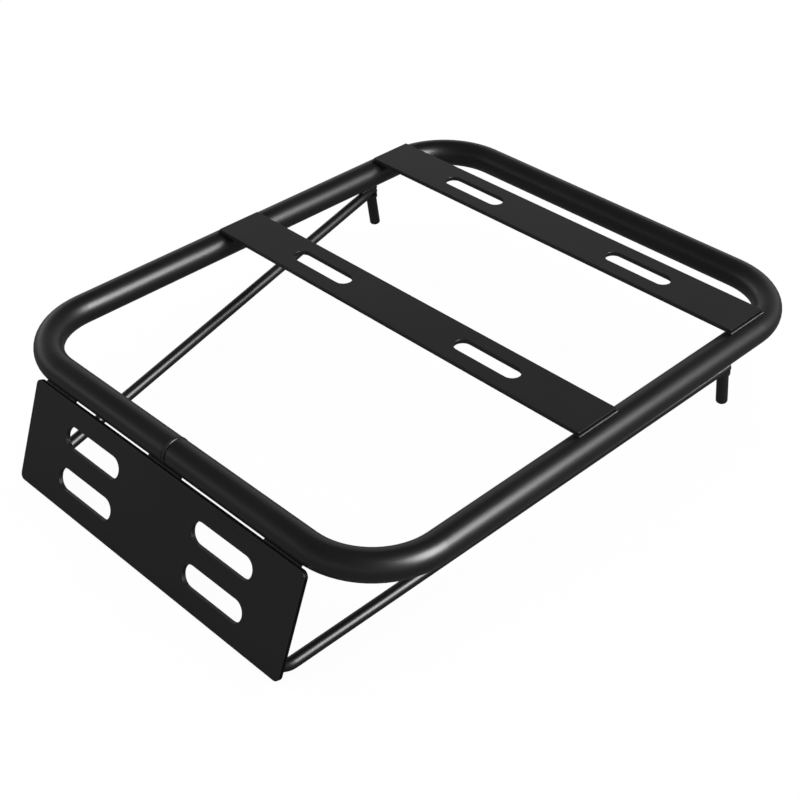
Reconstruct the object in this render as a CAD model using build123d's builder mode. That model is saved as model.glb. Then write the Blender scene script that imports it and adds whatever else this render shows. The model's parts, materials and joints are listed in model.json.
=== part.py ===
from build123d import *
import os
from math import sqrt

os.makedirs("parts", exist_ok=True)

# Welded luggage rack, all sizes in millimetres and all angles in degrees.
# Origin: centre of the mounting plate's outer face. +Y runs back along the
# rack, +Z is up, and the rack is symmetric about X = 0.

# Loop of round tube
tube_d = 25.0
tube_wall = 1.5
loop_width = 420.0  # between the centre lines of the side tubes
loop_length = 507.0  # between the centre lines of the end tubes
loop_bend_r = 64.0
butt_gap = 1.2  # width of the ground weld that closes the loop
butt_recess = 0.4  # how far that weld lies below the tube's surface

# Flat cross bars, laid on top of the side tubes
bar_setback = 0.5  # from the side tubes' centre lines in to the bars' ends
bar_width = 44.5
bar_thickness = 4.0
bar_corner_r = 1.0
front_bar_y = 237.5  # from the front tube's centre line
rear_bar_inset = 77.0  # from the rear tube's centre line
bar_slot_length = 68.0
bar_slot_width = 16.0
bar_slot_pitch = 193.0

# Mounting plate, hung below the front tube
plate_width = 322.0
plate_height = 91.0
plate_thickness = 4.0
plate_corner_r = 5.0
plate_tilt = 20.0  # from vertical, lower edge outwards
plate_face_depth = 12.0  # from the outer face back to the tube's centre line
plate_gap = 1.0  # root gap between the plate's top edge and the tube
plate_slot_length = 68.0
plate_slot_width = 19.0
plate_slot_pitch_x = 158.0
plate_slot_pitch_y = 36.5

# Stay: one round rod bent into a U, with its cross run behind the plate
rod_d = 10.0
rod_bend_r = 12.0
stay_foot_inset = 7.0  # from the plate's ends in to the legs' centre lines
stay_head_offset = 0.75  # from a side tube's centre line out to the leg's end
stay_head_inset = 98.0  # upper ends, from the rear tube's centre line
stay_seat = 0.3  # clearance between the rod's end and the side tube
rod_end_r = 1.5

# Pins under the ends of the stay
pin_d = 10.0
pin_length = 38.0  # from the rod's centre line to the pin's tip
pin_inset = 5.5  # from the rod's end back to the pin's centre line
pin_cope = 3.5  # from the rod's centre line down to the pin's flat top
pin_tip_r = 2.0
pin_root_step = 0.25  # the root is this much larger in radius than the free shank
pin_root_length = 7.0  # from the rod's centre line to the shank

# Weld beads
plate_bead_length = 40.0
plate_bead_inset = 8.0  # from each end of the plate to the outer beads
plate_bead_r = 1.7
plate_bead_rise = 0.4  # from the plate's top edge up to the bead's centre line
bar_bead_r = 2.2
bar_bead_offset = 0.1  # from a bar's end out to the bead's centre line
bar_bead_rise = 1.0  # from a bar's underside up to the bead's centre line
bar_bead_wrap = 1.5  # how far a bead runs past each corner of a bar's end
stay_bead_length = 22.0
stay_bead_r = 4.6
stay_bead_lead = 1.15  # past the upper end of the stay
foot_bead_length = 45.0
foot_bead_gap = 24.0  # from the rod's bends to the beads
foot_bead_r = 2.4
collar_r = 1.2  # how far the bead round a pin stands out
collar_height = 4.0
collar_margin = 0.6  # root left bare below the collar
collar_chamfer = 0.8
bead_round = 0.7  # share of a bead's radius that rounds its ends

edge_r = 0.4  # broken edges of the cut plates

# Places worked out from those sizes
tube_r = tube_d / 2
rod_r = rod_d / 2
pin_r = pin_d / 2
side_x = loop_width / 2
bar_length = loop_width - 2 * bar_setback
rear_bar_y = loop_length - rear_bar_inset
stay_reach = loop_length - stay_head_inset
stay_foot_width = plate_width - 2 * stay_foot_inset  # between the legs' centre lines
stay_head_width = loop_width + 2 * stay_head_offset
plate_bead_x = plate_width / 2 - plate_bead_inset - plate_bead_length / 2
foot_bead_x = stay_foot_width / 2 - rod_bend_r - foot_bead_gap - foot_bead_length / 2

# Plane of the plate's outer face: local X is the row's X, local Y runs up the
# plate and local Z is the outward normal.
face = Plane.XZ.rotated((-plate_tilt, 0, 0))
rise = sqrt((tube_r + plate_gap) ** 2 - (plate_face_depth - plate_thickness) ** 2)
front_axis = face.from_local_coords((0, plate_height / 2 + rise, -plate_face_depth))
axis_y = front_axis.Y
axis_z = front_axis.Z
back_y = axis_y + loop_length
bar_bottom = axis_z + tube_r

# Plane of the stay: it holds the centre line of the whole rod, with local X
# along the row's X and local Y up the slope of the legs.
foot = face.from_local_coords((0, rod_r - plate_height / 2, -plate_thickness - rod_r))
head = Vector(0, axis_y + stay_reach, axis_z - tube_r - rod_r - stay_seat)
slope = head - foot
stay = Plane(origin=foot, x_dir=(1, 0, 0), z_dir=Vector(1, 0, 0).cross(slope))
leg_run = slope.length
pin_run = leg_run - pin_inset
leg_spread = (stay_head_width - stay_foot_width) / 2
pin_x = stay_foot_width / 2 + leg_spread * pin_run / leg_run

# Loop: a tube bent to a rounded rectangle whose ends meet at the front centre
with BuildPart() as frame_tube:
    with BuildLine(Plane.XY.offset(axis_z)) as loop_path:
        FilletPolyline(
            (butt_gap / 2, axis_y),
            (side_x, axis_y),
            (side_x, back_y),
            (-side_x, back_y),
            (-side_x, axis_y),
            (-butt_gap / 2, axis_y),
            radius=loop_bend_r,
        )
    with BuildSketch(Plane(origin=(butt_gap / 2, axis_y, axis_z), z_dir=(1, 0, 0))):
        Circle(tube_r)
        Circle(tube_r - tube_wall, mode=Mode.SUBTRACT)
    sweep()
frame_tube.part.label = "frame_tube"
export_step(frame_tube.part, "parts/frame_tube.step")

# The same loop without its bore or its joint, for trimming what meets it
with BuildPart() as loop_envelope:
    with BuildSketch(Plane(origin=(butt_gap / 2, axis_y, axis_z), z_dir=(1, 0, 0))):
        Circle(tube_r)
    sweep(path=loop_path.wire())
    with BuildSketch(Plane(origin=(0, axis_y, axis_z), z_dir=(1, 0, 0))):
        Circle(tube_r)
    extrude(amount=butt_gap / 2, both=True)

# Ground butt weld that closes the loop
with BuildPart() as butt_weld:
    with BuildSketch(Plane(origin=(0, axis_y, axis_z), z_dir=(1, 0, 0))):
        Circle(tube_r - butt_recess)
        Circle(tube_r - tube_wall, mode=Mode.SUBTRACT)
    extrude(amount=butt_gap / 2, both=True)
butt_weld.part.label = "butt_weld"
export_step(butt_weld.part, "parts/butt_weld.step")

# Cross bars and the bead along each of their ends
for end, bar_y in (("front", axis_y + front_bar_y), ("rear", axis_y + rear_bar_y)):
    with BuildPart() as bar:
        with BuildSketch(Plane.XY.offset(bar_bottom)):
            with Locations((0, bar_y)):
                RectangleRounded(bar_length, bar_width, bar_corner_r)
            with Locations((-bar_slot_pitch / 2, bar_y), (bar_slot_pitch / 2, bar_y)):
                SlotOverall(bar_slot_length, bar_slot_width, mode=Mode.SUBTRACT)
        extrude(amount=bar_thickness)
        flat_faces = bar.faces().filter_by(Axis.Z)
        fillet(flat_faces.edges(), edge_r)
    bar.part.label = f"{end}_bar"
    export_step(bar.part, f"parts/{end}_bar.step")

    for side, sign in (("left", -1), ("right", 1)):
        bead_x = sign * (bar_length / 2 + bar_bead_offset)
        bead_start = bar_y - bar_width / 2 - bar_bead_wrap
        with BuildPart() as bar_weld:
            with BuildSketch(Plane.XZ.offset(-bead_start)):
                with Locations((bead_x, bar_bottom + bar_bead_rise)):
                    Circle(bar_bead_r)
            extrude(amount=-(bar_width + 2 * bar_bead_wrap))
            fillet(bar_weld.edges(), bar_bead_r * bead_round)
            add(bar.part, mode=Mode.SUBTRACT)
            add(loop_envelope.part, mode=Mode.SUBTRACT)
        bar_weld.part.label = f"{end}_bar_weld_{side}"
        export_step(bar_weld.part, f"parts/{end}_bar_weld_{side}.step")

# Mounting plate with its two rows of slots
with BuildPart() as mounting_plate:
    with BuildSketch(face):
        RectangleRounded(plate_width, plate_height, plate_corner_r)
        with GridLocations(plate_slot_pitch_x, plate_slot_pitch_y, 2, 2):
            SlotOverall(plate_slot_length, plate_slot_width, mode=Mode.SUBTRACT)
    extrude(amount=-plate_thickness)
    flat_faces = mounting_plate.faces().filter_by(Axis((0, 0, 0), face.z_dir))
    fillet(flat_faces.edges(), edge_r)
mounting_plate.part.label = "mounting_plate"
export_step(mounting_plate.part, "parts/mounting_plate.step")

# The space that a bracket needs in front of the plate's outer face
with BuildPart() as bracket_space:
    with BuildSketch(face):
        Rectangle(plate_width, plate_height)
    extrude(amount=plate_bead_r)

# Beads that fill the gap between the plate's top edge and the front tube
for name, bead_x in (
    ("left", -plate_bead_x),
    ("centre", 0.0),
    ("right", plate_bead_x),
):
    bead_v = plate_height / 2 + plate_bead_rise
    root = face.from_local_coords((bead_x, bead_v, -plate_thickness))
    with BuildPart() as plate_weld:
        with BuildSketch(Plane(origin=root, z_dir=(1, 0, 0))):
            Circle(plate_bead_r)
        extrude(amount=plate_bead_length / 2, both=True)
        fillet(plate_weld.edges(), plate_bead_r * bead_round)
        add(mounting_plate.part, mode=Mode.SUBTRACT)
        add(bracket_space.part, mode=Mode.SUBTRACT)
        add(loop_envelope.part, mode=Mode.SUBTRACT)
    plate_weld.part.label = f"plate_weld_{name}"
    export_step(plate_weld.part, f"parts/plate_weld_{name}.step")

# Stay: the legs rise from behind the plate to the side tubes
with BuildPart() as stay_rod:
    with BuildLine(stay):
        FilletPolyline(
            (stay_head_width / 2, leg_run),
            (stay_foot_width / 2, 0),
            (-stay_foot_width / 2, 0),
            (-stay_head_width / 2, leg_run),
            radius=rod_bend_r,
        )
    leg_end = stay.from_local_coords((stay_head_width / 2, leg_run, 0))
    leg_foot = stay.from_local_coords((stay_foot_width / 2, 0, 0))
    with BuildSketch(Plane(origin=leg_end, z_dir=leg_foot - leg_end)):
        Circle(rod_r)
    sweep()
    rod_ends = stay_rod.faces().filter_by(GeomType.PLANE)
    fillet(rod_ends.edges(), rod_end_r)
stay_rod.part.label = "stay_rod"
export_step(stay_rod.part, "parts/stay_rod.step")

# Pins, their collars and the beads that hold the stay to plate and tubes
for side, sign in (("left", -1), ("right", 1)):
    pin_top = stay.from_local_coords((sign * pin_x, pin_run, 0))
    pin_plane = Plane(origin=pin_top, x_dir=(1, 0, 0), z_dir=-stay.z_dir)

    with BuildPart() as pin:
        with BuildSketch(pin_plane.offset(pin_cope)):
            Circle(pin_r + pin_root_step)
        extrude(amount=pin_root_length - pin_cope)
        with BuildSketch(pin_plane.offset(pin_root_length)):
            Circle(pin_r)
        extrude(amount=pin_length - pin_root_length)
        tip = pin.faces().sort_by(Axis.Z)[0]
        fillet(tip.edges(), pin_tip_r)
        add(stay_rod.part, mode=Mode.SUBTRACT)
    pin.part.label = f"pin_{side}"
    export_step(pin.part, f"parts/pin_{side}.step")

    collar_top = pin_root_length - collar_margin - collar_height
    with BuildPart() as pin_weld:
        with BuildSketch(pin_plane.offset(collar_top)):
            Circle(pin_r + collar_r)
        extrude(amount=collar_height)
        rim = pin_weld.faces().sort_by(Axis.Z)[0]
        chamfer(rim.edges(), collar_chamfer)
        add(stay_rod.part, mode=Mode.SUBTRACT)
        add(pin.part, mode=Mode.SUBTRACT)
    pin_weld.part.label = f"pin_weld_{side}"
    export_step(pin_weld.part, f"parts/pin_weld_{side}.step")

    bead_end = head.Y + stay_bead_lead
    with BuildPart() as stay_weld:
        with BuildSketch(Plane.XZ.offset(-bead_end)):
            with Locations((sign * pin_x, axis_z - tube_r - stay_seat)):
                Circle(stay_bead_r)
        extrude(amount=stay_bead_length)
        fillet(stay_weld.edges(), stay_bead_r * bead_round)
        add(loop_envelope.part, mode=Mode.SUBTRACT)
        add(stay_rod.part, mode=Mode.SUBTRACT)
        add(pin.part, mode=Mode.SUBTRACT)
        add(pin_weld.part, mode=Mode.SUBTRACT)
    stay_weld.part.label = f"stay_weld_{side}"
    export_step(stay_weld.part, f"parts/stay_weld_{side}.step")

    corner = face.from_local_coords(
        (sign * foot_bead_x, 2 * rod_r - plate_height / 2, -plate_thickness)
    )
    with BuildPart() as foot_weld:
        with BuildSketch(Plane(origin=corner, z_dir=(1, 0, 0))):
            Circle(foot_bead_r)
        extrude(amount=foot_bead_length / 2, both=True)
        fillet(foot_weld.edges(), foot_bead_r * bead_round)
        add(mounting_plate.part, mode=Mode.SUBTRACT)
        add(stay_rod.part, mode=Mode.SUBTRACT)
    foot_weld.part.label = f"foot_weld_{side}"
    export_step(foot_weld.part, f"parts/foot_weld_{side}.step")
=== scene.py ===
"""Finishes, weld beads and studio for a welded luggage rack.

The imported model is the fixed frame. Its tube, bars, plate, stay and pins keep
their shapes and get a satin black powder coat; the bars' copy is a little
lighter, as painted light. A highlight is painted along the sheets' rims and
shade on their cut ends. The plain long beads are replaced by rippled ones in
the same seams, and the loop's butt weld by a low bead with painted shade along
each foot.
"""

from __future__ import annotations

import json
import logging
import math
from dataclasses import dataclass
from enum import Enum

import bmesh
import bpy
from mathutils import Matrix, Vector

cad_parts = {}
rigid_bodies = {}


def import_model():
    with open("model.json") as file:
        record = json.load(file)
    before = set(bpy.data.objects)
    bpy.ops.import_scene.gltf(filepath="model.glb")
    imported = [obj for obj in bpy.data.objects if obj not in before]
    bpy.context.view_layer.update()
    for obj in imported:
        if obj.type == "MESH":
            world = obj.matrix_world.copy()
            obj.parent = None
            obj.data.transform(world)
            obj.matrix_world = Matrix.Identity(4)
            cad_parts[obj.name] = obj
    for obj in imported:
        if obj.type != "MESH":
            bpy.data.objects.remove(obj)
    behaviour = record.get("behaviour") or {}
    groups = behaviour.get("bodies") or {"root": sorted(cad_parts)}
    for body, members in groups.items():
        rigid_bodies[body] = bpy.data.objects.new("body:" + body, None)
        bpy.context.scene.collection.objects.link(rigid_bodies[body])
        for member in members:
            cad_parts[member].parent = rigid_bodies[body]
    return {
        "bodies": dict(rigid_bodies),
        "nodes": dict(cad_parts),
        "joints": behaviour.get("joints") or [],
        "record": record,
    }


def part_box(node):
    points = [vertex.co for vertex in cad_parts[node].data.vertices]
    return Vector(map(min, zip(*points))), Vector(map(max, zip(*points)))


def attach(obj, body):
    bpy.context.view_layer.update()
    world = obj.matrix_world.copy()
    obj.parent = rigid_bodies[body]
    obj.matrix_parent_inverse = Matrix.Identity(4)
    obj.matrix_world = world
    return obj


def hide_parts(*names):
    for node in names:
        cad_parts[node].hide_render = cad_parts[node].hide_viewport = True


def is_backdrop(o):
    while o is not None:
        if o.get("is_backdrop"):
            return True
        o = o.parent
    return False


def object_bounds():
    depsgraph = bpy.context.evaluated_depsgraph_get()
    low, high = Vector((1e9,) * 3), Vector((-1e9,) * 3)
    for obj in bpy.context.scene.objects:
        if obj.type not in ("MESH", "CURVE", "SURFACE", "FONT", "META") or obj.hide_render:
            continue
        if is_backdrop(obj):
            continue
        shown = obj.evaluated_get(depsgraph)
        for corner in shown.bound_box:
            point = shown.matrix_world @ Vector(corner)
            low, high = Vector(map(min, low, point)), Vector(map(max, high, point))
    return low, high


LOG = logging.getLogger("luggage_rack")
MM = 0.001
ROOT = "root"

# Linear base colours of the coat
BLACK = 0.0090
# The bars' black is lighter than the rest: painted light, a lit copy of the same coat
BAR_BLACK_PAINTED_LIGHT = 0.0122
WELD_BLACK = 0.0120

# What the coat's masks do to its colour and gloss
CLOUD_SHADE = 0.5
SPECK_SHADE = 0.5
GRIT_SHADE = 0.8
# The rim's colour lift: a painted highlight along the sheets' edges
RIM_HIGHLIGHT = 1.2
RIM_POLISH = 0.12
# The Metallic that paints shade on cut ends and in creases, darkening their gloss
PAINTED_SHADE_METALLIC = 0.9
MEAN_SHADE = 0.34
DARKEST = 0.72
LIGHTEST = 1.55
SMOOTHEST = 0.2
PAINT_IOR = 1.5

# Sizes in those masks
SPECKS_PER_METRE = 900.0
SPECK_RANGE = (0.70, 0.78)
WANDER_PER_METRE = 260.0
WALL_SLOPE = 4.0
WALL_FADE = 0.8 * MM
CREASE_FADE = 0.2 * MM
CLOUDS_PER_METRE = 14.0
RIM_WIDTH = 0.9 * MM

# Waves round the seam, each a share, a count and a start
SWELL = ((0.06, 48, 0.0), (0.04, 31, 2.0))
DRIFT = ((1.0, 5, 0.0), (0.6, 13, 1.0))


class Axis(Enum):
    """The direction in which a weld bead runs."""

    X = 0
    Y = 1


# ---------------------------------------------------------------------------
# Small helpers for node trees


def link(
    tree: bpy.types.NodeTree,
    source: bpy.types.NodeSocket,
    target: bpy.types.NodeSocket,
) -> None:
    """Join two sockets of one tree."""
    tree.links.new(source, target)


def add_node(tree: bpy.types.NodeTree, kind: str, **settings: object) -> bpy.types.Node:
    """Add a node and set its plain attributes.

    Args:
        tree: The tree that gets the node.
        kind: The node's Blender type.
        **settings: Attribute names and values.

    Returns:
        The new node.
    """
    node = tree.nodes.new(kind)
    for name, value in settings.items():
        setattr(node, name, value)
    return node


def math_node(
    tree: bpy.types.NodeTree,
    operation: str,
    first: bpy.types.NodeSocket | float,
    second: bpy.types.NodeSocket | float = 0.0,
    clamp: bool = False,
) -> bpy.types.NodeSocket:
    """Add a Math node on two sockets or numbers.

    Args:
        tree: The tree that gets the node.
        operation: The node's operation.
        first: The first input, a socket or a number.
        second: The second input, a socket or a number.
        clamp: Whether the result is held between 0 and 1.

    Returns:
        The node's output.
    """
    node = add_node(tree, "ShaderNodeMath", operation=operation, use_clamp=clamp)
    for index, value in enumerate((first, second)):
        if isinstance(value, bpy.types.NodeSocket):
            link(tree, value, node.inputs[index])
        else:
            node.inputs[index].default_value = value
    return node.outputs[0]


def noise_node(
    tree: bpy.types.NodeTree,
    vector: bpy.types.NodeSocket,
    scale: bpy.types.NodeSocket | float,
    detail: float,
    roughness: float = 0.5,
) -> bpy.types.NodeSocket:
    """Add a noise texture.

    Args:
        tree: The tree that gets the node.
        vector: The place that the noise is read at.
        scale: How many cells there are to a metre.
        detail: The number of finer octaves.
        roughness: How strong the finer octaves are.

    Returns:
        The noise's value.
    """
    node = add_node(tree, "ShaderNodeTexNoise")
    link(tree, vector, node.inputs["Vector"])
    if isinstance(scale, bpy.types.NodeSocket):
        link(tree, scale, node.inputs["Scale"])
    else:
        node.inputs["Scale"].default_value = scale
    node.inputs["Detail"].default_value = detail
    node.inputs["Roughness"].default_value = roughness
    return node.outputs["Fac"]


def new_group(
    name: str,
    inputs: dict[str, tuple[str, float]],
    outputs: dict[str, str],
) -> bpy.types.NodeTree:
    """Start a shader node group.

    Args:
        name: The group's name.
        inputs: Each input's socket type and default.
        outputs: Each output's socket type.

    Returns:
        The group, with its input and output nodes named In and Out.
    """
    group = bpy.data.node_groups.new(name, "ShaderNodeTree")
    for label, (kind, default) in inputs.items():
        socket = group.interface.new_socket(label, in_out="INPUT", socket_type=kind)
        if kind == "NodeSocketFloat":
            socket.default_value = default
    for label, kind in outputs.items():
        group.interface.new_socket(label, in_out="OUTPUT", socket_type=kind)
    add_node(group, "NodeGroupInput", name="In")
    add_node(group, "NodeGroupOutput", name="Out")
    return group


# ---------------------------------------------------------------------------
# Shared surface effects


class Effects:
    """The shader groups that every coated surface shares, built once."""

    def __init__(self) -> None:
        """Build the groups."""
        self.peel = self._orange_peel()
        self.tone = self._tone()
        # Painted highlight along a sheet's rim and painted shade on its cut ends
        self.rim = self._rim_light_and_shade()
        # Painted shade in the creases beside a bead
        self.crease_shade = self._crease_shade()

    @staticmethod
    def _orange_peel() -> bpy.types.NodeTree:
        """Build the texture of baked powder: low rounded hills under fine grit.

        Returns:
            A group from a place and two scales to a height and a grit mask.
        """
        group = new_group(
            "orange_peel",
            {
                "Vector": ("NodeSocketVector", 0.0),
                "Hills per metre": ("NodeSocketFloat", 420.0),
                "Grit per metre": ("NodeSocketFloat", 2600.0),
                "Grit share": ("NodeSocketFloat", 0.35),
            },
            {"Height": "NodeSocketFloat", "Grit": "NodeSocketFloat"},
        )
        source, sink = group.nodes["In"], group.nodes["Out"]
        place = source.outputs["Vector"]
        hills = noise_node(group, place, source.outputs["Hills per metre"], 1.0)
        grit = noise_node(group, place, source.outputs["Grit per metre"], 2.0, 0.6)
        fine = math_node(group, "MULTIPLY", grit, source.outputs["Grit share"])
        link(group, math_node(group, "ADD", hills, fine), sink.inputs["Height"])
        link(group, math_node(group, "SUBTRACT", grit, 0.5), sink.inputs["Grit"])
        return group

    @staticmethod
    def _tone() -> bpy.types.NodeTree:
        """Build the slow drift of colour and gloss over a sprayed surface.

        Returns:
            A group from a place to one mask of broad clouds and one of specks.
        """
        group = new_group(
            "sprayed_tone",
            {
                "Vector": ("NodeSocketVector", 0.0),
                "Clouds per metre": ("NodeSocketFloat", CLOUDS_PER_METRE),
            },
            {"Clouds": "NodeSocketFloat", "Specks": "NodeSocketFloat"},
        )
        source, sink = group.nodes["In"], group.nodes["Out"]
        place = source.outputs["Vector"]
        clouds = noise_node(group, place, source.outputs["Clouds per metre"], 3.0)
        link(group, math_node(group, "SUBTRACT", clouds, 0.5), sink.inputs["Clouds"])
        specks = noise_node(group, place, SPECKS_PER_METRE, 0.0)
        sharp = add_node(group, "ShaderNodeMapRange", clamp=True)
        sharp.inputs["From Min"].default_value = SPECK_RANGE[0]
        sharp.inputs["From Max"].default_value = SPECK_RANGE[1]
        link(group, specks, sharp.inputs["Value"])
        link(group, sharp.outputs["Result"], sink.inputs["Specks"])
        return group

    @staticmethod
    def _rim_light_and_shade() -> bpy.types.NodeTree:
        """Build the masks of a cut sheet's rim, where a highlight is painted and the gloss
        raised, and of its cut ends, where shade is painted.

        The sheet lies in the vector's X and Y, centred on zero.

        Returns:
            A group from a place, half sizes and a width to the mask of the rim's
            painted highlight and the mask of the painted shade on the two cut ends below it.
        """
        group = new_group(
            "rim_light_and_shade",
            {
                "Vector": ("NodeSocketVector", 0.0),
                "Half length": ("NodeSocketFloat", 0.2),
                "Half width": ("NodeSocketFloat", 0.02),
                "Half thickness": ("NodeSocketFloat", 0.002),
                "Rim": ("NodeSocketFloat", RIM_WIDTH),
            },
            {"Mask": "NodeSocketFloat", "Wall shade": "NodeSocketFloat"},
        )
        source, sink = group.nodes["In"], group.nodes["Out"]
        split = add_node(group, "ShaderNodeSeparateXYZ")
        link(group, source.outputs["Vector"], split.inputs[0])
        inside = []
        for axis, half in (("X", "Half length"), ("Y", "Half width"), ("Z", "Half thickness")):
            distance = math_node(group, "ABSOLUTE", split.outputs[axis])
            inside.append(math_node(group, "SUBTRACT", source.outputs[half], distance))
        border = math_node(group, "MINIMUM", inside[0], inside[1])
        nearest = math_node(group, "ADD", border, inside[2])
        wander = noise_node(group, source.outputs["Vector"], WANDER_PER_METRE, 2.0)
        spread = math_node(group, "ADD", wander, 0.5)
        reach = math_node(group, "MULTIPLY", source.outputs["Rim"], spread)
        share = math_node(group, "DIVIDE", nearest, reach)
        # The rim's mask, for its painted highlight and lower roughness
        link(group, math_node(group, "SUBTRACT", 1.0, share, clamp=True), sink.inputs["Mask"])
        # The mask of the painted shade on the two cut ends
        slant = math_node(group, "MULTIPLY", inside[0], WALL_SLOPE)
        below = math_node(group, "SUBTRACT", inside[2], slant)
        wall = math_node(group, "DIVIDE", below, WALL_FADE)
        link(group, math_node(group, "MINIMUM", wall, 1.0, clamp=True), sink.inputs["Wall shade"])
        return group

    @staticmethod
    def _crease_shade() -> bpy.types.NodeTree:
        """Build the mask of the painted shade in the two creases along a bead's feet.

        The bead runs across the vector's X, centred on zero.

        Returns:
            A group from a place and the bead's half width to a mask.
        """
        group = new_group(
            "crease_shade",
            {"Vector": ("NodeSocketVector", 0.0), "Half width": ("NodeSocketFloat", 0.001)},
            {"Mask": "NodeSocketFloat"},
        )
        source, sink = group.nodes["In"], group.nodes["Out"]
        split = add_node(group, "ShaderNodeSeparateXYZ")
        link(group, source.outputs["Vector"], split.inputs[0])
        distance = math_node(group, "ABSOLUTE", split.outputs["X"])
        past = math_node(group, "SUBTRACT", distance, source.outputs["Half width"])
        share = math_node(group, "DIVIDE", past, CREASE_FADE)
        link(group, math_node(group, "ADD", share, 0.5, clamp=True), sink.inputs["Mask"])
        return group


# ---------------------------------------------------------------------------
# Finishes


@dataclass(frozen=True)
class Rim:
    """The outline of a cut sheet, for the painted highlight along its edges and the painted shade
    on its cut ends.

    Attributes:
        centre: The sheet's centre in the frame, in metres.
        tilt: The sheet's turn about X, in radians.
        half_length: Half the sheet's length along X.
        half_width: Half its width across.
        half_thickness: Half its thickness.
    """

    centre: Vector
    tilt: float
    half_length: float
    half_width: float
    half_thickness: float


@dataclass(frozen=True)
class Crease:
    """The creases beside a bead that runs across X, where shade is painted.

    Attributes:
        centre: The bead's centre in the frame, in metres.
        half_width: Half the bead's width.
    """

    centre: Vector
    half_width: float


@dataclass(frozen=True)
class PowderCoat:
    """A satin black powder coat.

    Attributes:
        name: The material's name.
        black: Linear base colour, a grey.
        roughness: Mean roughness.
        gloss_drift: How far clouds move the roughness.
        hills: Orange peel hills to a metre.
        grit: Grit grains to a metre.
        grit_share: How much of the relief is grit.
        relief: Strength of the bump.
        depth: Height of the bump, in metres.
        seed: Shift of the pattern, so that no two finishes repeat.
        rim: The cut outline, or None on round stock.
        crease_shade: The creases beside a bead, where shade is painted, or None.
    """

    name: str
    black: float
    roughness: float = 0.355
    gloss_drift: float = 0.05
    hills: float = 420.0
    grit: float = 2600.0
    grit_share: float = 0.35
    relief: float = 0.12
    depth: float = 0.00012
    seed: float = 0.0
    rim: Rim | None = None
    crease_shade: Crease | None = None

    @staticmethod
    def _place(tree: bpy.types.NodeTree, offset: Vector, tilt: float) -> bpy.types.NodeSocket:
        """Read the place on the object, moved and turned.

        Args:
            tree: The material's tree.
            offset: The point that becomes zero.
            tilt: Turn about X, in radians.

        Returns:
            The moved place.
        """
        coordinates = add_node(tree, "ShaderNodeTexCoord")
        mapping = add_node(tree, "ShaderNodeMapping", vector_type="TEXTURE")
        mapping.inputs["Location"].default_value = offset
        mapping.inputs["Rotation"].default_value = (tilt, 0.0, 0.0)
        link(tree, coordinates.outputs["Object"], mapping.inputs["Vector"])
        return mapping.outputs["Vector"]

    @staticmethod
    def _paint_shade(
        tree: bpy.types.NodeTree,
        surface: bpy.types.Node,
        lift: bpy.types.NodeSocket,
        mask: bpy.types.NodeSocket,
    ) -> bpy.types.NodeSocket:
        """Paint shade on the coat where a mask says so: darken its colour and its gloss.

        Args:
            tree: The material's tree.
            surface: The coat's shader.
            lift: The colour's shift so far.
            mask: Where shade is painted.

        Returns:
            The new shift.
        """
        # Metallic on the near-black coat turns its gloss dark: painted shade
        gloss = math_node(tree, "MULTIPLY", mask, PAINTED_SHADE_METALLIC)
        link(tree, gloss, surface.inputs["Metallic"])
        return math_node(tree, "SUBTRACT", lift, mask)

    def material(self, effects: Effects) -> bpy.types.Material:
        """Make the material.

        Args:
            effects: The shared surface effects.

        Returns:
            The material, ready for a slot.
        """
        material = bpy.data.materials.new(self.name)
        material.use_nodes = True
        tree = material.node_tree
        tree.nodes.clear()
        output = add_node(tree, "ShaderNodeOutputMaterial")
        surface = add_node(tree, "ShaderNodeBsdfPrincipled")
        link(tree, surface.outputs["BSDF"], output.inputs["Surface"])
        surface.inputs["Specular IOR Level"].default_value = 0.5
        surface.inputs["IOR"].default_value = PAINT_IOR

        place = self._place(tree, Vector((self.seed, 0.0, 0.0)), 0.0)
        peel = add_node(tree, "ShaderNodeGroup", node_tree=effects.peel)
        tone = add_node(tree, "ShaderNodeGroup", node_tree=effects.tone)
        for group in (peel, tone):
            link(tree, place, group.inputs["Vector"])
        peel.inputs["Hills per metre"].default_value = self.hills
        peel.inputs["Grit per metre"].default_value = self.grit
        peel.inputs["Grit share"].default_value = self.grit_share

        shade = math_node(tree, "MULTIPLY", tone.outputs["Clouds"], CLOUD_SHADE)
        speckle = math_node(tree, "MULTIPLY", tone.outputs["Specks"], SPECK_SHADE)
        grain = math_node(tree, "MULTIPLY", peel.outputs["Grit"], GRIT_SHADE)
        lift = math_node(tree, "ADD", math_node(tree, "ADD", shade, grain), speckle)
        gloss = math_node(tree, "MULTIPLY", tone.outputs["Clouds"], self.gloss_drift * 2.0)
        roughness = math_node(tree, "ADD", gloss, self.roughness)
        if self.rim is not None:
            edge = add_node(tree, "ShaderNodeGroup", node_tree=effects.rim)
            link(tree, self._place(tree, self.rim.centre, self.rim.tilt), edge.inputs["Vector"])
            edge.inputs["Half length"].default_value = self.rim.half_length
            edge.inputs["Half width"].default_value = self.rim.half_width
            edge.inputs["Half thickness"].default_value = self.rim.half_thickness
            # Painted highlight: the rim's colour is lifted; its roughness is lowered too
            bright = math_node(tree, "MULTIPLY", edge.outputs["Mask"], RIM_HIGHLIGHT)
            lift = math_node(tree, "ADD", lift, bright)
            polish = math_node(tree, "MULTIPLY", edge.outputs["Mask"], RIM_POLISH)
            roughness = math_node(tree, "SUBTRACT", roughness, polish)
            # Painted shade on the cut ends below the rim
            lift = self._paint_shade(tree, surface, lift, edge.outputs["Wall shade"])
        if self.crease_shade is not None:
            fold = add_node(tree, "ShaderNodeGroup", node_tree=effects.crease_shade)
            link(tree, self._place(tree, self.crease_shade.centre, 0.0), fold.inputs["Vector"])
            fold.inputs["Half width"].default_value = self.crease_shade.half_width
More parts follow.
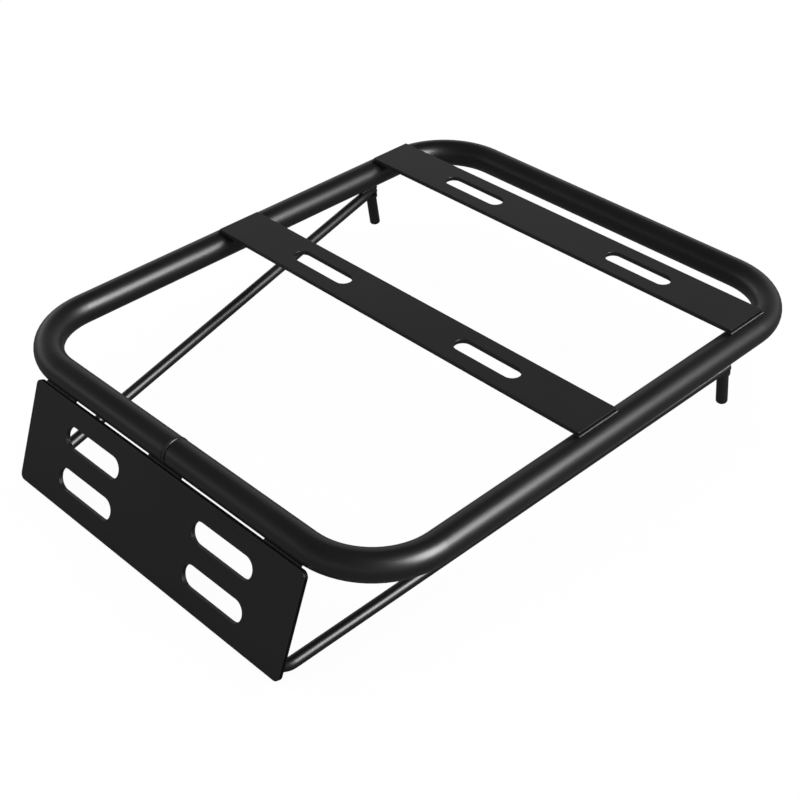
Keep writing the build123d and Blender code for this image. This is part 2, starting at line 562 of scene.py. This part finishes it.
            # Painted shade in the creases along the bead's feet
            lift = self._paint_shade(tree, surface, lift, fold.outputs["Mask"])
        colour = add_node(tree, "ShaderNodeMix", data_type="RGBA")
        for socket, share in (("A", DARKEST), ("B", LIGHTEST)):
            colour.inputs[socket].default_value = (*(self.black * share,) * 3, 1.0)
        shift = math_node(tree, "ADD", lift, MEAN_SHADE, clamp=True)
        link(tree, shift, colour.inputs["Factor"])
        link(tree, colour.outputs["Result"], surface.inputs["Base Color"])
        floored = math_node(tree, "MAXIMUM", roughness, SMOOTHEST)
        link(tree, floored, surface.inputs["Roughness"])

        bump = add_node(tree, "ShaderNodeBump")
        bump.inputs["Strength"].default_value = self.relief
        bump.inputs["Distance"].default_value = self.depth
        link(tree, peel.outputs["Height"], bump.inputs["Height"])
        link(tree, bump.outputs["Normal"], surface.inputs["Normal"])
        return material


@dataclass
class SubAssembly:
    """A group of CAD pieces that are finished together.

    Attributes:
        effects: The shared surface effects.
        frame: The loaded frame.
    """

    effects: Effects
    frame: dict

    def dress(self, node: str, material: bpy.types.Material) -> None:
        """Give a CAD node its finish, in every material slot.

        Args:
            node: The node's name.
            material: The finish.
        """
        for slot in self.frame["nodes"][node].material_slots:
            slot.material = material


# ---------------------------------------------------------------------------
# Weld beads


@dataclass
class BeadTool:
    """Lays rippled weld beads with one Geometry Nodes tree.

    Attributes:
        pitch: Distance from ripple to ripple.
        ripple_length: Length of one ripple along the bead.
        irregularity: How much smaller the smallest ripple is.
        slimness: The size of a bead under a bar, as a share of the plain one's.
        sag: How far such a bead lies below the plain one's middle.
        stand_off: How far it lies out from the bar's end.
        segments: Faces round one ripple.
    """

    pitch: float = 1.5 * MM
    ripple_length: float = 3.4 * MM
    irregularity: float = 0.10
    slimness: float = 0.72
    sag: float = 0.6 * MM
    stand_off: float = 0.3 * MM
    segments: int = 20

    def tree(self) -> bpy.types.NodeTree:
        """Build the tree: ripples on a line, made real and given a material.

        Returns:
            The tree, with named inputs for the bead's ends and sizes.
        """
        tree = bpy.data.node_groups.new("rippled_bead", "GeometryNodeTree")
        face = tree.interface
        face.new_socket("Geometry", in_out="INPUT", socket_type="NodeSocketGeometry")
        face.new_socket("Start", in_out="INPUT", socket_type="NodeSocketVector")
        face.new_socket("End", in_out="INPUT", socket_type="NodeSocketVector")
        face.new_socket("Ripple size", in_out="INPUT", socket_type="NodeSocketVector")
        face.new_socket("Smallest", in_out="INPUT", socket_type="NodeSocketFloat")
        face.new_socket("Ripples", in_out="INPUT", socket_type="NodeSocketInt")
        face.new_socket("Seed", in_out="INPUT", socket_type="NodeSocketInt")
        face.new_socket("Finish", in_out="INPUT", socket_type="NodeSocketMaterial")
        face.new_socket("Geometry", in_out="OUTPUT", socket_type="NodeSocketGeometry")
        source = add_node(tree, "NodeGroupInput")
        sink = add_node(tree, "NodeGroupOutput")
        line = add_node(tree, "GeometryNodeMeshLine", mode="END_POINTS", count_mode="TOTAL")
        link(tree, source.outputs["Ripples"], line.inputs["Count"])
        link(tree, source.outputs["Start"], line.inputs["Start Location"])
        link(tree, source.outputs["End"], line.inputs["Offset"])
        ripple = add_node(tree, "GeometryNodeMeshUVSphere")
        ripple.inputs["Segments"].default_value = self.segments
        ripple.inputs["Rings"].default_value = self.segments // 2
        ripple.inputs["Radius"].default_value = 1.0
        chance = add_node(tree, "FunctionNodeRandomValue", data_type="FLOAT")
        chance.inputs[3].default_value = 1.0
        link(tree, source.outputs["Smallest"], chance.inputs[2])
        link(tree, source.outputs["Seed"], chance.inputs["Seed"])
        size = add_node(tree, "ShaderNodeVectorMath", operation="SCALE")
        link(tree, source.outputs["Ripple size"], size.inputs[0])
        link(tree, chance.outputs[1], size.inputs["Scale"])
        place = add_node(tree, "GeometryNodeInstanceOnPoints")
        link(tree, line.outputs["Mesh"], place.inputs["Points"])
        link(tree, ripple.outputs["Mesh"], place.inputs["Instance"])
        link(tree, size.outputs["Vector"], place.inputs["Scale"])
        real = add_node(tree, "GeometryNodeRealizeInstances")
        link(tree, place.outputs["Instances"], real.inputs["Geometry"])
        smooth = add_node(tree, "GeometryNodeSetShadeSmooth")
        link(tree, real.outputs["Geometry"], smooth.inputs["Geometry"])
        paint = add_node(tree, "GeometryNodeSetMaterial")
        link(tree, smooth.outputs["Geometry"], paint.inputs["Geometry"])
        link(tree, source.outputs["Finish"], paint.inputs["Material"])
        link(tree, paint.outputs["Geometry"], sink.inputs["Geometry"])
        return tree

    def lay(
        self,
        tree: bpy.types.NodeTree,
        node: str,
        axis: Axis,
        finish: bpy.types.Material,
        seed: int,
        under_bar: bool,
    ) -> bpy.types.Object:
        """Lay one bead in the place of a CAD bead.

        Args:
            tree: The tree that tree() built.
            node: The CAD bead's name.
            axis: The direction in which it runs.
            finish: Its material.
            seed: The seed of its irregular ripples.
            under_bar: Whether it closes the corner under a bar's end.

        Returns:
            The bead as a plain mesh, riding on the rack.
        """
        low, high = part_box(node)
        centre = (low + high) / 2
        half = (high - low) / 2
        run = axis.value
        size = half.copy()
        if under_bar:
            size *= self.slimness
            centre.z -= self.sag
            centre.x += math.copysign(self.stand_off, centre.x)
        size[run] = self.ripple_length / 2
        reach = Vector((0.0, 0.0, 0.0))
        reach[run] = half[run] - size[run]
        count = max(2, round(2 * reach[run] / self.pitch) + 1)

        mesh = bpy.data.meshes.new(f"{node}_seed")
        maker = bpy.data.objects.new(f"{node}_maker", mesh)
        bpy.context.scene.collection.objects.link(maker)
        modifier = maker.modifiers.new("bead", "NODES")
        modifier.node_group = tree
        sockets = {
            item.name: item.identifier
            for item in tree.interface.items_tree
            if item.in_out == "INPUT"
        }
        modifier[sockets["Start"]] = centre - reach
        modifier[sockets["End"]] = centre + reach
        modifier[sockets["Ripple size"]] = size
        modifier[sockets["Smallest"]] = 1.0 - self.irregularity
        modifier[sockets["Ripples"]] = count
        modifier[sockets["Seed"]] = seed
        modifier[sockets["Finish"]] = finish
        graph = bpy.context.evaluated_depsgraph_get()
        plain = bpy.data.meshes.new_from_object(maker.evaluated_get(graph))
        bpy.data.objects.remove(maker)
        bead = bpy.data.objects.new(f"{node}_ripples", plain)
        bpy.context.scene.collection.objects.link(bead)
        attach(bead, ROOT)
        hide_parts(node)
        return bead


# ---------------------------------------------------------------------------
# The rack's sub-assemblies


@dataclass
class Seam:
    """The low weld bead that runs round the tube where its ends meet.

    Its ridge lies a little to the left of the joint, on a thin film of powder
    whose edges dip into the tube's wall; shade is painted along each foot as a dark crease.

    Attributes:
        effects: The shared surface effects.
        width: The film's width along the tube.
        ridge: Half the ridge's width.
        lean: How far the ridge lies to the left.
        crown: How far it stands out of the tube.
        film: How far the film does.
        depth: How far the film's edges lie in the tube's wall.
        sides: Faces round the tube.
        rows: Faces across the bead.
        waver: How far the ridge wanders along the tube.
        low_share: The crown's share at the back.
        full_at: The middle of the ridge's full run, in degrees.
        full_reach: How far from there the ridge is back to its low share.
        fade: The run over which it fades.
        roundness: How steep the ridge's feet are, from 1 for a plain arch down.
    """

    effects: Effects
    width: float = 4.6 * MM
    ridge: float = 1.4 * MM
    lean: float = 0.2 * MM
    crown: float = 0.85 * MM
    film: float = 0.04 * MM
    depth: float = 0.35 * MM
    sides: int = 240
    rows: int = 46
    waver: float = 0.08 * MM
    low_share: float = 0.35
    full_at: float = 127.0
    full_reach: float = 85.0
    fade: float = 30.0
    roundness: float = 0.7

    @staticmethod
    def wave(angle: float, terms: tuple[tuple[float, int, float], ...]) -> float:
        """Add up waves that run round the tube."""
        return sum(share * math.sin(count * angle + start) for share, count, start in terms)

    def section(self, angle: float) -> list[tuple[float, float]]:
        """Trace the bead's section at one place round the tube.

        The bead is full over the top and the front and low at the back.

        Args:
            angle: The place, from the back over the top.

        Returns:
            Each corner's place along the tube and its rise over it.
        """
        away = abs(math.degrees(angle) - self.full_at)
        near = min(1.0, max(0.0, (self.full_reach - away) / self.fade))
        fullness = self.low_share + (1.0 - self.low_share) * near
        swell = 1.0 + self.wave(angle, SWELL)
        drift = self.waver * self.wave(angle, DRIFT)
        trace = [(-self.width / 2, -self.depth)]
        for row in range(self.rows + 1):
            along = (row / self.rows - 0.5) * self.width
            arch = max(0.0, 1.0 - ((along - drift) / self.ridge) ** 2)
            rise = self.crown * fullness * swell * arch**self.roundness
            trace.append((along, self.film + rise))
        trace.append((self.width / 2, -self.depth))
        return trace

    def ring(self, centre: Vector, radius: float) -> bpy.types.Mesh:
        """Turn the section round the tube.

        Args:
            centre: The ridge's centre.
            radius: The tube's outer radius.

        Returns:
            The closed ring.
        """
        shape = bmesh.new()
        loops = []
        for side in range(self.sides):
            angle = math.tau * side / self.sides
            out = Vector((0.0, math.cos(angle), math.sin(angle)))
            loops.append(
                [
                    shape.verts.new(centre + Vector((along, 0.0, 0.0)) + out * (radius + rise))
                    for along, rise in self.section(angle)
                ]
            )
        count = len(loops[0])
        for side in range(self.sides):
            here, there = loops[side], loops[(side + 1) % self.sides]
            for row in range(count):
                after = (row + 1) % count
                shape.faces.new((here[row], there[row], there[after], here[after]))
        bmesh.ops.recalc_face_normals(shape, faces=shape.faces[:])
        for face in shape.faces:
            face.smooth = True
        mesh = bpy.data.meshes.new("seam_bead")
        shape.to_mesh(mesh)
        shape.free()
        return mesh

    def build(self) -> None:
        """Lay the bead in the place of the plain seam."""
        low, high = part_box("butt_weld")
        tube_low, tube_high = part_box("frame_tube")
        centre = (low + high) / 2 - Vector((self.lean, 0.0, 0.0))
        mesh = self.ring(centre, (tube_high.z - tube_low.z) / 2)
        # Shade is painted in the creases along the bead's feet
        crease_shade = Crease(centre, self.ridge)
        coat = PowderCoat("coat_seam", BLACK, relief=0.05, seed=1.91, crease_shade=crease_shade)
        mesh.materials.append(coat.material(self.effects))
        bead = bpy.data.objects.new("seam_bead", mesh)
        bpy.context.scene.collection.objects.link(bead)
        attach(bead, ROOT)
        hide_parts("butt_weld")
        LOG.info("seam: %d faces", len(mesh.polygons))


class Loop(SubAssembly):
    """The bent tube and the weld bead that closes it."""

    def build(self) -> None:
        """Dress the tube and lay its seam."""
        tube = PowderCoat("coat_tube", BLACK, seed=0.37)
        self.dress("frame_tube", tube.material(self.effects))
        Seam(self.effects).build()
        LOG.info("loop: tube and seam")


class CrossBars(SubAssembly):
    """The two slotted bars on top of the loop."""

    def build(self) -> None:
        """Dress each bar in a lighter copy of the coat, painted light, with a painted highlight
        along its own rim and painted shade on its cut ends.
        """
        for seed, node in enumerate(("front_bar", "rear_bar")):
            low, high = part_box(node)
            half = (high - low) / 2
            rim = Rim((low + high) / 2, 0.0, half.x, half.y, half.z)
            # A lighter copy of the coat: painted light on the bars
            coat = PowderCoat(f"coat_{node}", BAR_BLACK_PAINTED_LIGHT, seed=2.3 + seed, rim=rim)
            self.dress(node, coat.material(self.effects))
            LOG.info("bar: %s", node)


class MountingPlate(SubAssembly):
    """The tilted plate below the front tube."""

    def build(self) -> None:
        """Dress the plate, with a painted highlight along its tilted rim and painted shade on its
        cut ends.
        """
        mount = next(m for m in self.frame["record"]["mounts"] if m["name"] == "plate_face")
        normal = Vector(mount["axis"])
        across = normal.cross(Vector((1.0, 0.0, 0.0)))
        tilt = math.atan2(across.z, across.y)
        points = [vertex.co for vertex in self.frame["nodes"]["mounting_plate"].data.vertices]
        half_width = max(abs(point.dot(across)) for point in points)
        half_length = max(abs(point.x) for point in points)
        deep = [point.dot(normal) for point in points]
        half_thickness = (max(deep) - min(deep)) / 2
        centre = Vector(mount["pos_m"])
        centre += normal * ((max(deep) + min(deep)) / 2 - centre.dot(normal))
        rim = Rim(centre, tilt, half_length, half_width, half_thickness)
        coat = PowderCoat("coat_plate", BLACK, seed=5.1, rim=rim)
        self.dress("mounting_plate", coat.material(self.effects))
        LOG.info("plate: tilt %.1f degrees", math.degrees(tilt))


class Stay(SubAssembly):
    """The bent rod and the pins under its ends."""

    def build(self) -> None:
        """Dress the rod and both pins."""
        rod = PowderCoat("coat_rod", BLACK, relief=0.03, seed=7.7)
        coat = rod.material(self.effects)
        for node in ("stay_rod", "pin_left", "pin_right"):
            self.dress(node, coat)
        LOG.info("stay: rod and pins")


@dataclass
class Welds(SubAssembly):
    """Every weld bead of the rack but the seam.

    Attributes:
        tool: The bead tool.
    """

    tool: BeadTool

    def build(self) -> None:
        """Lay the long beads and dress the collars."""
        coat = PowderCoat("coat_weld", WELD_BLACK, roughness=0.36, grit_share=0.2, seed=9.4)
        finish = coat.material(self.effects)
        tree = self.tool.tree()
        seams = [(f"plate_weld_{name}", Axis.X) for name in ("left", "centre", "right")]
        for side in ("left", "right"):
            seams.append((f"foot_weld_{side}", Axis.X))
            seams.append((f"stay_weld_{side}", Axis.Y))
            seams.extend((f"{end}_bar_weld_{side}", Axis.Y) for end in ("front", "rear"))
        for seed, (node, axis) in enumerate(seams):
            bead = self.tool.lay(tree, node, axis, finish, seed, "_bar_weld_" in node)
            LOG.info("weld: %s, %d faces", bead.name, len(bead.data.polygons))
        for side in ("left", "right"):
            self.dress(f"pin_weld_{side}", finish)


# ---------------------------------------------------------------------------
# Studio


class Role(Enum):
    """What a lamp's light is for."""

    SHADE = "lights the paint, unseen in its gloss"
    GLOSS = "seen in the gloss alone"


@dataclass(frozen=True)
class Lamp:
    """One soft rectangular lamp, placed by its direction from the rack.

    Attributes:
        name: The lamp's name.
        role: What its light is for.
        azimuth: Its direction from +X towards +Y, in degrees.
        elevation: Its height above the horizon, in degrees.
        width: Its size along the horizon.
        height: Its size up and down.
        glow: How bright its face is, where 1 is white.
        distance: From the rack's middle.
    """

    name: str
    role: Role
    azimuth: float
    elevation: float
    width: float
    height: float
    glow: float
    distance: float = 4.0


@dataclass
class Studio:
    """Camera, lamps, floor and world.

    Attributes:
        middle: The point that the lamps face.
        target: The point that the camera looks at.
        azimuth: The camera's direction from the front towards +X, in degrees.
        elevation: Its height above the deck's plane, in degrees.
        roll: Its turn about its own axis, in degrees.
        distance: From the camera to the target.
        lens: Focal length, in millimetres.
        sensor: The sensor's width, in millimetres.
        near: The nearest thing that the camera sees, in metres.
        ambient: The world's even light on the paint.
        horizon: The world's brightness in the gloss, at the horizon.
        zenith: The same overhead.
        front_share: How much of it there is towards the front.
        floor_gloss: The floor's tone in the gloss.
        shadow_share: How much of the floor's own shade the camera sees.
        paper: The floor's own tone.
        paper_glow: How bright the camera sees the rest of the floor.
        floor_half: Half the floor's width.
        glow_top: The height at which the world's gloss reaches its zenith tone.
        side_end: How far back its front share reaches.
        lamps: The lamps.
    """

    middle: Vector
    target: tuple[float, float, float] = (0.071747, 0.19525, 0.049326)
    azimuth: float = 45.154
    elevation: float = 36.817
    roll: float = 0.064
    distance: float = 1.18216
    lens: float = 68.068
    sensor: float = 36.0
    near: float = 0.05
    ambient: float = 0.72
    horizon: float = 0.62
    zenith: float = 0.0
    front_share: float = 0.58
    floor_gloss: float = 0.2
    shadow_share: float = 0.07
    paper: float = 0.82
    paper_glow: float = 1.03
    floor_half: float = 6.0
    glow_top: float = 0.85
    side_end: float = 0.3
    lamps: tuple[Lamp, ...] = (
        Lamp("key", Role.GLOSS, 16.0, 34.0, 2.4, 2.3, 20.5),
        Lamp("strip", Role.GLOSS, -165.0, 14.0, 5.2, 0.85, 0.75),
        Lamp("sky", Role.SHADE, 30.0, 60.0, 3.0, 3.0, 0.5),
    )

    def camera(self) -> None:
        """Make the camera."""
        azimuth, elevation = math.radians(self.azimuth), math.radians(self.elevation)
        back = Vector(
            (
                math.sin(azimuth) * math.cos(elevation),
                -math.cos(azimuth) * math.cos(elevation),
                math.sin(elevation),
            )
        )
        right = Vector((0.0, 0.0, 1.0)).cross(back).normalized()
        up = back.cross(right)
        turn = Matrix((right, up, back)).transposed().to_4x4()
        data = bpy.data.cameras.new("camera")
        data.lens = self.lens
        data.sensor_width = self.sensor
        data.clip_start = self.near
        camera = bpy.data.objects.new("camera", data)
        camera.matrix_world = (
            Matrix.Translation(Vector(self.target) + back * self.distance)
            @ turn
            @ Matrix.Rotation(math.radians(self.roll), 4, "Z")
        )
        bpy.context.scene.collection.objects.link(camera)
        bpy.context.scene.camera = camera

    def lamp(self, lamp: Lamp) -> None:
        """Hang one soft rectangular lamp.

        Args:
            lamp: Where it hangs, its size and its light.
        """
        azimuth, elevation = math.radians(lamp.azimuth), math.radians(lamp.elevation)
        away = Vector(
            (
                math.cos(azimuth) * math.cos(elevation),
                math.sin(azimuth) * math.cos(elevation),
                math.sin(elevation),
            )
        )
        data = bpy.data.lights.new(lamp.name, "AREA")
        data.shape = "RECTANGLE"
        data.size, data.size_y = lamp.width, lamp.height
        data.energy = lamp.glow * math.pi * lamp.width * lamp.height
        piece = bpy.data.objects.new(lamp.name, data)
        piece.location = self.middle + away * lamp.distance
        piece.rotation_euler = (-away).to_track_quat("-Z", "Y").to_euler()
        piece.visible_diffuse = lamp.role is not Role.GLOSS
        piece.visible_glossy = lamp.role is not Role.SHADE
        piece.visible_camera = False
        bpy.context.scene.collection.objects.link(piece)

    def world(self) -> None:
        """Make a plain world: white to the camera, even on the paint, dim in its gloss."""
        world = bpy.data.worlds.new("world")
        world.use_nodes = True
        tree = world.node_tree
        tree.nodes.clear()
        output = add_node(tree, "ShaderNodeOutputWorld")
        ray = add_node(tree, "ShaderNodeLightPath")
        direction = add_node(tree, "ShaderNodeTexCoord")
        split = add_node(tree, "ShaderNodeSeparateXYZ")
        link(tree, direction.outputs["Generated"], split.inputs[0])
        height = math_node(tree, "ABSOLUTE", split.outputs["Z"])
        glow = add_node(tree, "ShaderNodeMapRange", interpolation_type="SMOOTHSTEP")
        glow.inputs["From Min"].default_value = 0.0
        glow.inputs["From Max"].default_value = self.glow_top
        glow.inputs["To Min"].default_value = self.horizon
        glow.inputs["To Max"].default_value = self.zenith
        link(tree, height, glow.inputs["Value"])
        side = add_node(tree, "ShaderNodeMapRange", interpolation_type="SMOOTHSTEP")
        side.inputs["From Min"].default_value = -1.0
        side.inputs["From Max"].default_value = self.side_end
        side.inputs["To Min"].default_value = self.front_share
        side.inputs["To Max"].default_value = 1.0
        link(tree, split.outputs["Y"], side.inputs["Value"])
        wall = math_node(tree, "MULTIPLY", glow.outputs["Result"], side.outputs["Result"])
        gloss = math_node(tree, "MULTIPLY", wall, ray.outputs["Is Glossy Ray"])
        rest = math_node(tree, "SUBTRACT", 1.0, ray.outputs["Is Glossy Ray"])
        shade = math_node(tree, "MULTIPLY", rest, self.ambient)
        dim = math_node(tree, "ADD", gloss, shade)
        strength = math_node(tree, "MAXIMUM", dim, ray.outputs["Is Camera Ray"])
        white = add_node(tree, "ShaderNodeBackground")
        white.inputs["Color"].default_value = (1.0, 1.0, 1.0, 1.0)
        link(tree, strength, white.inputs["Strength"])
        link(tree, white.outputs["Background"], output.inputs["Surface"])
        bpy.context.scene.world = world

    def floor(self, height: float) -> None:
        """Make the paper floor, white to the camera apart from a faint shadow.

        Args:
            height: The floor's height.
        """
        half = self.floor_half
        mesh = bpy.data.meshes.new("floor")
        outline = [(x * half, y * half, height) for x, y in ((-1, -1), (1, -1), (1, 1), (-1, 1))]
        mesh.from_pydata(outline, [], [(0, 1, 2, 3)])
        floor = bpy.data.objects.new("floor", mesh)
        bpy.context.scene.collection.objects.link(floor)
        material = bpy.data.materials.new("floor_paper")
        material.use_nodes = True
        tree = material.node_tree
        tree.nodes.clear()
        output = add_node(tree, "ShaderNodeOutputMaterial")
        ray = add_node(tree, "ShaderNodeLightPath")
        tone = add_node(tree, "ShaderNodeMix", data_type="RGBA")
        tone.inputs["A"].default_value = (*(self.paper,) * 3, 1.0)
        tone.inputs["B"].default_value = (*(self.floor_gloss,) * 3, 1.0)
        link(tree, ray.outputs["Is Glossy Ray"], tone.inputs["Factor"])
        paper = add_node(tree, "ShaderNodeBsdfDiffuse")
        link(tree, tone.outputs["Result"], paper.inputs["Color"])
        glow = add_node(tree, "ShaderNodeEmission")
        glow.inputs["Strength"].default_value = self.paper_glow
        share = math_node(tree, "MULTIPLY", ray.outputs["Is Camera Ray"], 1.0 - self.shadow_share)
        mix = add_node(tree, "ShaderNodeMixShader")
        link(tree, share, mix.inputs["Fac"])
        link(tree, paper.outputs["BSDF"], mix.inputs[1])
        link(tree, glow.outputs["Emission"], mix.inputs[2])
        link(tree, mix.outputs["Shader"], output.inputs["Surface"])
        mesh.materials.append(material)
        floor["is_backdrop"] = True

    def build(self, floor_height: float) -> None:
        """Make the whole studio.

        Args:
            floor_height: The floor's height.
        """
        self.camera()
        for lamp in self.lamps:
            self.lamp(lamp)
        self.world()
        self.floor(floor_height)
        settings = bpy.context.scene.view_settings
        settings.view_transform = "Standard"
        LOG.info("studio: floor at %.4f m", floor_height)


def main() -> None:
    """Load the frame, build each sub-assembly and set up the studio round the frame's bounds."""
    logging.basicConfig(level=logging.INFO, format="%(name)s %(message)s")
    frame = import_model()
    cad_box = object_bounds()
    effects = Effects()
    Loop(effects, frame).build()
    CrossBars(effects, frame).build()
    MountingPlate(effects, frame).build()
    Stay(effects, frame).build()
    Welds(effects, frame, BeadTool()).build()
    middle = (cad_box[0] + cad_box[1]) / 2
    Studio(middle).build(cad_box[0][2])


if __name__ == "__main__":
    main()
